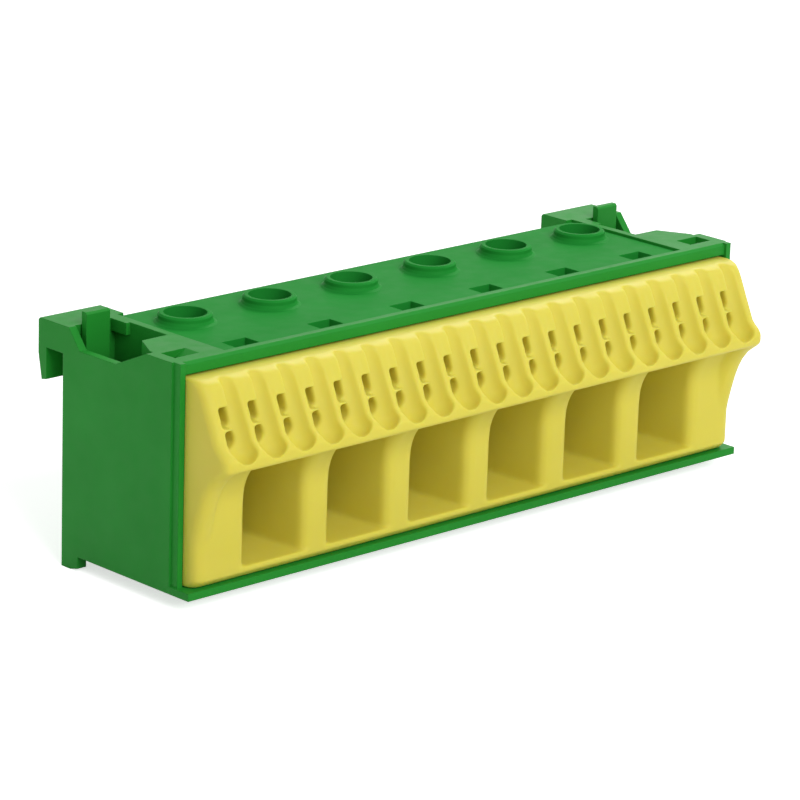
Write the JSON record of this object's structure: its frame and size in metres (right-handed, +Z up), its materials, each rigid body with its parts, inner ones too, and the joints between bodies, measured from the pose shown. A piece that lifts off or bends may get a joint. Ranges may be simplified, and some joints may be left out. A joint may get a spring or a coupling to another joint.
{
  "type": "earth terminal bar",
  "caption": "Earth terminal bar for a distribution board: a row of screw clamps for thick conductors below a row of push-in clamps for thin ones, with hooks that hang it on a rail.",
  "frame": {"origin": "centre of the bounding box's bottom face, level with the underside of the feet", "axes": "+X along the bar to its right-hand end as seen from the conductor side, +Y back towards the carrier rail, +Z up towards the clamp screws"},
  "size_m": [0.105, 0.0372, 0.0353],
  "materials": {
    "green_plastic": "fine satin moulding",
    "yellow_plastic": "fine satin moulding",
    "brass": "plain drawn bar",
    "zinc_steel": "zinc plated",
    "spring_steel": "bright rolled strip"
  },
  "bodies": {
    "bar": {"housing": "green_plastic", "top_cover": "green_plastic", "front_insert": "yellow_plastic", "earth_bar": "brass", "spring_clip_01": "spring_steel", "spring_clip_02": "spring_steel", "spring_clip_03": "spring_steel", "spring_clip_04": "spring_steel", "spring_clip_05": "spring_steel", "spring_clip_06": "spring_steel", "spring_clip_07": "spring_steel", "spring_clip_08": "spring_steel", "spring_clip_09": "spring_steel", "spring_clip_10": "spring_steel", "spring_clip_11": "spring_steel", "spring_clip_12": "spring_steel", "spring_clip_13": "spring_steel", "spring_clip_14": "spring_steel", "spring_clip_15": "spring_steel", "spring_clip_16": "spring_steel", "spring_clip_17": "spring_steel", "spring_clip_18": "spring_steel", "spring_clip_19": "spring_steel", "spring_clip_20": "spring_steel"},
    "screw_1": {"clamp_screw_1": "zinc_steel"},
    "cage_1": {"clamp_cage_1": "zinc_steel"},
    "screw_2": {"clamp_screw_2": "zinc_steel"},
    "cage_2": {"clamp_cage_2": "zinc_steel"},
    "screw_3": {"clamp_screw_3": "zinc_steel"},
    "cage_3": {"clamp_cage_3": "zinc_steel"},
    "screw_4": {"clamp_screw_4": "zinc_steel"},
    "cage_4": {"clamp_cage_4": "zinc_steel"},
    "screw_5": {"clamp_screw_5": "zinc_steel"},
    "cage_5": {"clamp_cage_5": "zinc_steel"},
    "screw_6": {"clamp_screw_6": "zinc_steel"},
    "cage_6": {"clamp_cage_6": "zinc_steel"}
  },
  "joints": [
    {"name": "screw_1_turn", "type": "hinge", "parent": "bar", "child": "screw_1", "pos_m": [-0.0375, 0.0062, 0.02205], "axis": [0, 0, -1], "range_deg": [0, 2882]},
    {"name": "cage_1_lift", "type": "slide", "parent": "bar", "child": "cage_1", "axis": [0, 0, 1], "range_m": [0, 0.0064]},
    {"name": "screw_2_turn", "type": "hinge", "parent": "bar", "child": "screw_2", "pos_m": [-0.0225, 0.0062, 0.02205], "axis": [0, 0, -1], "range_deg": [0, 2882]},
    {"name": "cage_2_lift", "type": "slide", "parent": "bar", "child": "cage_2", "axis": [0, 0, 1], "range_m": [0, 0.0064]},
    {"name": "screw_3_turn", "type": "hinge", "parent": "bar", "child": "screw_3", "pos_m": [-0.0075, 0.0062, 0.02205], "axis": [0, 0, -1], "range_deg": [0, 2882]},
    {"name": "cage_3_lift", "type": "slide", "parent": "bar", "child": "cage_3", "axis": [0, 0, 1], "range_m": [0, 0.0064]},
    {"name": "screw_4_turn", "type": "hinge", "parent": "bar", "child": "screw_4", "pos_m": [0.0075, 0.0062, 0.02205], "axis": [0, 0, -1], "range_deg": [0, 2882]},
    {"name": "cage_4_lift", "type": "slide", "parent": "bar", "child": "cage_4", "axis": [0, 0, 1], "range_m": [0, 0.0064]},
    {"name": "screw_5_turn", "type": "hinge", "parent": "bar", "child": "screw_5", "pos_m": [0.0225, 0.0062, 0.02205], "axis": [0, 0, -1], "range_deg": [0, 2882]},
    {"name": "cage_5_lift", "type": "slide", "parent": "bar", "child": "cage_5", "axis": [0, 0, 1], "range_m": [0, 0.0064]},
    {"name": "screw_6_turn", "type": "hinge", "parent": "bar", "child": "screw_6", "pos_m": [0.0375, 0.0062, 0.02205], "axis": [0, 0, -1], "range_deg": [0, 2882]},
    {"name": "cage_6_lift", "type": "slide", "parent": "bar", "child": "cage_6", "axis": [0, 0, 1], "range_m": [0, 0.0064]}
  ],
  "couplings": [
    {"joint": "screw_1_turn", "follows": "cage_1_lift", "rad_per_m": 7854},
    {"joint": "screw_2_turn", "follows": "cage_2_lift", "rad_per_m": 7854},
    {"joint": "screw_3_turn", "follows": "cage_3_lift", "rad_per_m": 7854},
    {"joint": "screw_4_turn", "follows": "cage_4_lift", "rad_per_m": 7854},
    {"joint": "screw_5_turn", "follows": "cage_5_lift", "rad_per_m": 7854},
    {"joint": "screw_6_turn", "follows": "cage_6_lift", "rad_per_m": 7854}
  ]
}
